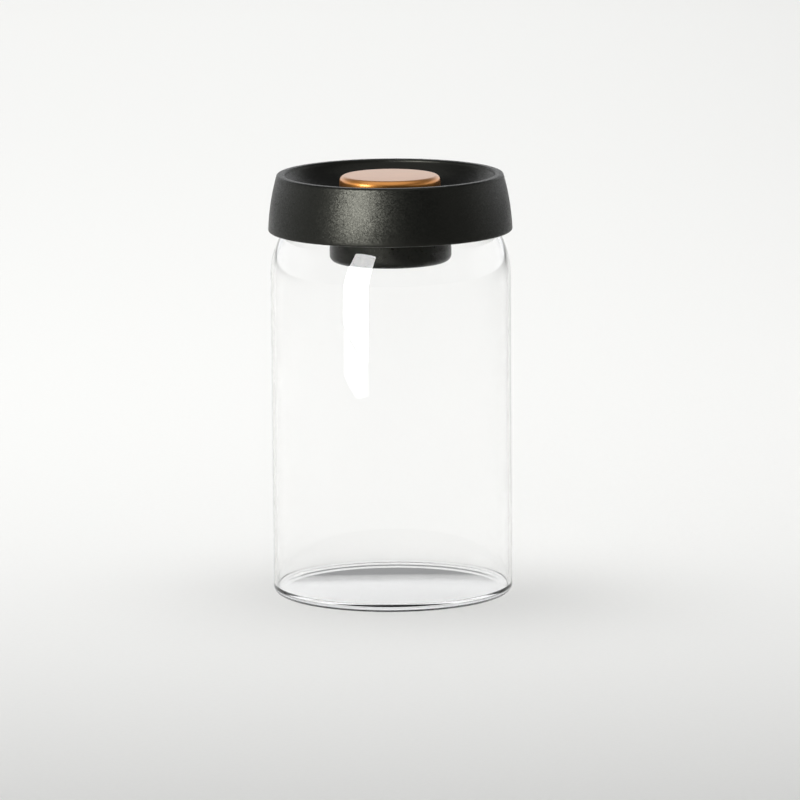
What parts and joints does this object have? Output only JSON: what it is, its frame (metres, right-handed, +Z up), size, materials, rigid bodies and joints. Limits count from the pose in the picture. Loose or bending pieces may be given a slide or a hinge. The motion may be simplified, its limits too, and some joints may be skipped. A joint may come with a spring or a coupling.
{
  "type": "vacuum seal canister",
  "caption": "Clear glass food canister with a flared charcoal lid; its copper-coloured press button pumps the air out through valves under the lid.",
  "frame": {"origin": "centre of the jar's foot, on the surface that it stands on", "axes": "+Z up along the jar's axis; -Y is the side that faces the viewer, where the release plug sits"},
  "size_m": [0.105, 0.105, 0.182],
  "materials": {
    "glass": "clear, polished",
    "charcoal_plastic": "fine spark texture",
    "black_plastic": "satin",
    "silicone": "soft, matt grey",
    "copper": "satin, copper-coloured",
    "steel": "bright drawn wire and screws"
  },
  "bodies": {
    "jar": {"glass_jar": "glass"},
    "lid": {"lid_shell": "charcoal_plastic", "guide_ring": "charcoal_plastic", "lid_base": "black_plastic", "mouth_gasket": "silicone", "lid_screws": "steel", "pump_cylinder": "black_plastic", "cylinder_seal": "silicone", "intake_grille": "black_plastic", "return_spring": "steel"},
    "pump_button": {"press_button": "copper", "button_core": "black_plastic", "piston": "black_plastic", "piston_seal": "silicone", "piston_screws": "steel"},
    "exhaust_check": {"exhaust_valve": "silicone"},
    "intake_check": {"intake_valve": "silicone"},
    "release": {"release_plug": "silicone"}
  },
  "joints": [
    {"name": "lid_lift", "type": "slide", "parent": "jar", "child": "lid", "axis": [0, 0, 1], "range_m": [0, 0.06]},
    {"name": "button_press", "type": "slide", "parent": "lid", "child": "pump_button", "axis": [0, 0, -1], "range_m": [0, 0.0082], "stiffness_N_per_m": 380, "springref_m": -0.006, "deforming": ["return_spring"]},
    {"name": "exhaust_open", "type": "slide", "parent": "pump_button", "child": "exhaust_check", "axis": [0, 0, 1], "range_m": [0, 0.0008]},
    {"name": "intake_open", "type": "slide", "parent": "lid", "child": "intake_check", "axis": [0, 0, 1], "range_m": [0, 0.0008]},
    {"name": "release_pull", "type": "slide", "parent": "lid", "child": "release", "axis": [0, 0, 1], "range_m": [0, 0.004]}
  ]
}
